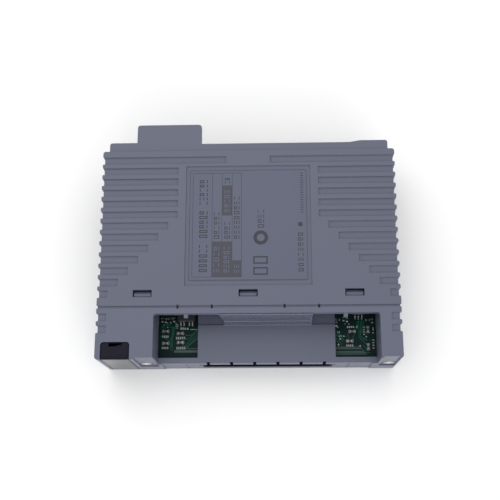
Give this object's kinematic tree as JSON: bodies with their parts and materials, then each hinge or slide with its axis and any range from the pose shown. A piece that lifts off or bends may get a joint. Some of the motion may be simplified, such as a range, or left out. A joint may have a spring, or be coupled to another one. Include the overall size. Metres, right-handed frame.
{
  "type": "plc output module",
  "caption": "Flat ribbed plastic rack module lying label side up, with an open terminal recess and connector slot in front, a smoked status window and a guide tab at the rack side.",
  "frame": {"origin": "middle of the underside of the whole module's box", "axes": "+X towards the end away from the status window, +Y towards the rack, +Z out of the label side"},
  "size_m": [0.13, 0.1062, 0.0328],
  "materials": {
    "case_grey": "moulded blue-grey plastic, fine spark texture",
    "front_grey": "moulded blue-grey plastic, fine spark texture",
    "smoked_lens": "smoked glossy polycarbonate",
    "clear_guide": "clear acrylic",
    "label_film": "printed polyester film, satin",
    "clear_film": "translucent polyester film",
    "nickel": "nickel-plated brass",
    "steel": "zinc-plated steel",
    "gold": "gold flash on bronze",
    "solder_mask": "green solder mask on glass-epoxy laminate",
    "black_plastic": "glass-filled black plastic",
    "chip_black": "moulded epoxy",
    "can_sleeve": "sleeved aluminium can",
    "led_green": "green diffused epoxy",
    "led_red": "red diffused epoxy"
  },
  "bodies": {
    "module": {"board_link_plug": "black_plastic", "board_link_socket": "black_plastic", "board_screw_top_1": "steel", "board_screw_top_2": "steel", "board_screw_top_3": "steel", "board_screw_top_4": "steel", "board_screw_under_1": "steel", "board_screw_under_2": "steel", "board_screw_under_3": "steel", "board_screw_under_4": "steel", "board_spacer_1": "nickel", "board_spacer_2": "nickel", "board_spacer_3": "nickel", "board_spacer_4": "nickel", "driver_ic_left": "chip_black", "driver_ic_right": "chip_black", "filter_capacitor_1": "can_sleeve", "filter_capacitor_2": "can_sleeve", "front_connector_shell": "black_plastic", "front_contacts_lower": "gold", "front_contacts_upper": "gold", "front_housing": "front_grey", "gate_array_ic": "chip_black", "isolation_transformer": "chip_black", "light_guide_fault": "clear_guide", "light_guide_run": "clear_guide", "main_board": "solder_mask", "optocoupler_1": "chip_black", "optocoupler_2": "chip_black", "optocoupler_3": "chip_black", "optocoupler_4": "chip_black", "output_board": "solder_mask", "output_ic_1": "chip_black", "output_ic_2": "chip_black", "processor_ic": "chip_black", "rack_connector_shell": "black_plastic", "rack_contacts_lower": "gold", "rack_contacts_upper": "gold", "rear_case": "case_grey", "recess_film": "clear_film", "status_led_fault": "led_red", "status_led_run": "led_green", "status_lens": "smoked_lens", "threaded_insert_left": "nickel", "threaded_insert_right": "nickel", "type_label": "label_film"},
    "latch_label_left": {"latch_label_left": "front_grey"},
    "latch_label_middle": {"latch_label_middle": "front_grey"},
    "latch_label_right": {"latch_label_right": "front_grey"},
    "latch_under_left": {"latch_under_left": "front_grey"},
    "latch_under_middle": {"latch_under_middle": "front_grey"},
    "latch_under_right": {"latch_under_right": "front_grey"}
  },
  "joints": [
    {"name": "latch_label_left_flex", "type": "hinge", "parent": "module", "child": "latch_label_left", "pos_m": [-0.0455, -0.03245, 0.0299], "axis": [-1, 0, 0], "range_deg": [0, 9], "stiffness_Nm_per_rad": 0.9},
    {"name": "latch_label_middle_flex", "type": "hinge", "parent": "module", "child": "latch_label_middle", "pos_m": [0, -0.03245, 0.0299], "axis": [-1, 0, 0], "range_deg": [0, 9], "stiffness_Nm_per_rad": 0.9},
    {"name": "latch_label_right_flex", "type": "hinge", "parent": "module", "child": "latch_label_right", "pos_m": [0.0455, -0.03245, 0.0299], "axis": [-1, 0, 0], "range_deg": [0, 9], "stiffness_Nm_per_rad": 0.9},
    {"name": "latch_under_left_flex", "type": "hinge", "parent": "module", "child": "latch_under_left", "pos_m": [-0.0455, -0.03245, 0.0029], "axis": [1, 0, 0], "range_deg": [0, 9], "stiffness_Nm_per_rad": 0.9},
    {"name": "latch_under_middle_flex", "type": "hinge", "parent": "module", "child": "latch_under_middle", "pos_m": [0, -0.03245, 0.0029], "axis": [1, 0, 0], "range_deg": [0, 9], "stiffness_Nm_per_rad": 0.9},
    {"name": "latch_under_right_flex", "type": "hinge", "parent": "module", "child": "latch_under_right", "pos_m": [0.0455, -0.03245, 0.0029], "axis": [1, 0, 0], "range_deg": [0, 9], "stiffness_Nm_per_rad": 0.9}
  ]
}
